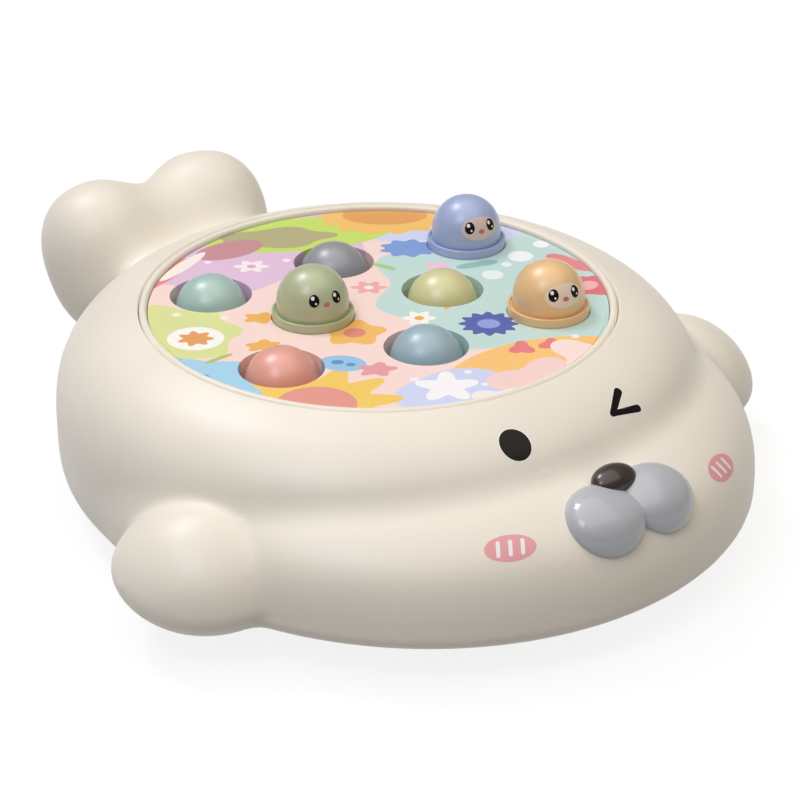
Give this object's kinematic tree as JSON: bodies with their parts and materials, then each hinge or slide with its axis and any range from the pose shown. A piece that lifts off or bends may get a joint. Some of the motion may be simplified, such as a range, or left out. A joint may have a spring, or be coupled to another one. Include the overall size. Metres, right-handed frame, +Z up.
{
  "type": "whack-a-mole toy",
  "caption": "Battery whack-a-mole game in the form of a cream seal pup, with sprung domed moles in a round printed deck, a front roll with a muzzle, flippers and a tail.",
  "frame": {"origin": "on the ground under the middle of the play deck, on the flat pad in the middle of the base", "axes": "+Z up, -Y towards the muzzle, +Y towards the tail, +X to the seal's left"},
  "size_m": [0.307, 0.3447, 0.1012],
  "materials": {
    "body_cream": "satin moulded plastic",
    "deck_white": "satin moulded plastic",
    "print_film": "printed plastic film",
    "muzzle_grey": "polished plastic",
    "nose_brown": "polished plastic",
    "stem_white": "moulded acetal",
    "spring_steel": "drawn wire",
    "plate_grey": "moulded plastic",
    "clip_steel": "stamped spring steel",
    "gear_white": "moulded acetal",
    "motor_steel": "nickel plated can",
    "screw_steel": "zinc plated",
    "cell_jacket": "plain jacket",
    "speaker_dark": "blackened steel",
    "board_green": "solder mask",
    "switch_black": "moulded plastic",
    "slider_red": "moulded plastic",
    "foot_rubber": "soft rubber",
    "mole_teal": "satin moulded plastic",
    "mole_coral": "satin moulded plastic",
    "mole_violet": "satin moulded plastic",
    "mole_orange": "satin moulded plastic",
    "mole_grey": "satin moulded plastic",
    "mole_slate": "satin moulded plastic",
    "mole_green": "satin moulded plastic",
    "mole_yellow": "satin moulded plastic"
  },
  "bodies": {
    "case": {"upper_shell": "body_cream", "trim_ring": "body_cream", "deck_panel": "deck_white", "deck_print": "print_film", "muzzle": "muzzle_grey", "nose": "nose_brown", "mole_spring_teal": "spring_steel", "mole_spring_coral": "spring_steel", "mole_spring_violet": "spring_steel", "mole_spring_orange": "spring_steel", "mole_spring_grey": "spring_steel", "mole_spring_slate": "spring_steel", "mole_spring_green": "spring_steel", "mole_spring_yellow": "spring_steel", "guide_plate": "plate_grey", "latch_clips": "clip_steel", "wheel_axle": "screw_steel", "gear_motor": "motor_steel", "motor_bracket": "clip_steel", "base_cover": "body_cream", "batteries": "cell_jacket", "battery_contacts": "clip_steel", "speaker": "speaker_dark", "circuit_board": "board_green", "switch_body": "switch_black", "rubber_feet": "foot_rubber", "case_screws": "screw_steel"},
    "mole_teal": {"mole_cap_teal": "mole_teal", "mole_stem_teal": "stem_white"},
    "mole_coral": {"mole_cap_coral": "mole_coral", "mole_stem_coral": "stem_white"},
    "mole_violet": {"mole_cap_violet": "mole_violet", "mole_stem_violet": "stem_white"},
    "mole_orange": {"mole_cap_orange": "mole_orange", "mole_stem_orange": "stem_white"},
    "mole_grey": {"mole_cap_grey": "mole_grey", "mole_stem_grey": "stem_white"},
    "mole_slate": {"mole_cap_slate": "mole_slate", "mole_stem_slate": "stem_white"},
    "mole_green": {"mole_cap_green": "mole_green", "mole_stem_green": "stem_white"},
    "mole_yellow": {"mole_cap_yellow": "mole_yellow", "mole_stem_yellow": "stem_white"},
    "wheel": {"trip_wheel": "gear_white"},
    "pinion": {"drive_pinion": "gear_white"},
    "door": {"battery_door": "body_cream", "door_screws": "screw_steel"},
    "slider": {"switch_slider": "slider_red"}
  },
  "joints": [
    {"name": "mole_teal_slide", "type": "slide", "parent": "case", "child": "mole_teal", "axis": [0, 0, 1], "range_m": [0, 0.0132], "deforming": ["mole_spring_teal", "latch_clips"]},
    {"name": "mole_coral_slide", "type": "slide", "parent": "case", "child": "mole_coral", "axis": [0, 0, 1], "range_m": [0, 0.0132], "deforming": ["mole_spring_coral", "latch_clips"]},
    {"name": "mole_violet_slide", "type": "slide", "parent": "case", "child": "mole_violet", "axis": [0, 0, 1], "range_m": [-0.0132, 0], "stiffness_N_per_m": 120, "springref_m": 0.02, "deforming": ["mole_spring_violet", "latch_clips"]},
    {"name": "mole_orange_slide", "type": "slide", "parent": "case", "child": "mole_orange", "axis": [0, 0, 1], "range_m": [-0.0132, 0], "stiffness_N_per_m": 120, "springref_m": 0.02, "deforming": ["mole_spring_orange", "latch_clips"]},
    {"name": "mole_grey_slide", "type": "slide", "parent": "case", "child": "mole_grey", "axis": [0, 0, 1], "range_m": [0, 0.0132], "deforming": ["mole_spring_grey", "latch_clips"]},
    {"name": "mole_slate_slide", "type": "slide", "parent": "case", "child": "mole_slate", "axis": [0, 0, 1], "range_m": [0, 0.0132], "deforming": ["mole_spring_slate", "latch_clips"]},
    {"name": "mole_green_slide", "type": "slide", "parent": "case", "child": "mole_green", "axis": [0, 0, 1], "range_m": [-0.0132, 0], "stiffness_N_per_m": 120, "springref_m": 0.02, "deforming": ["mole_spring_green", "latch_clips"]},
    {"name": "mole_yellow_slide", "type": "slide", "parent": "case", "child": "mole_yellow", "axis": [0, 0, 1], "range_m": [0, 0.0132], "deforming": ["mole_spring_yellow", "latch_clips"]},
    {"name": "wheel_spin", "type": "hinge", "parent": "case", "child": "wheel", "pos_m": [0, 0, 0.0204], "axis": [0, 0, 1], "continuous": true},
    {"name": "pinion_spin", "type": "hinge", "parent": "case", "child": "pinion", "pos_m": [0.0353, 0.06447, 0.0204], "axis": [0, 0, 1], "continuous": true},
    {"name": "door_drop", "type": "slide", "parent": "case", "child": "door", "axis": [0, 0, -1], "range_m": [0, 0.03]},
    {"name": "switch_slide", "type": "slide", "parent": "case", "child": "slider", "axis": [1, 0, 0], "range_m": [0, 0.004]}
  ],
  "couplings": [
    {"joint": "pinion_spin", "follows": "wheel_spin", "ratio": -6}
  ]
}
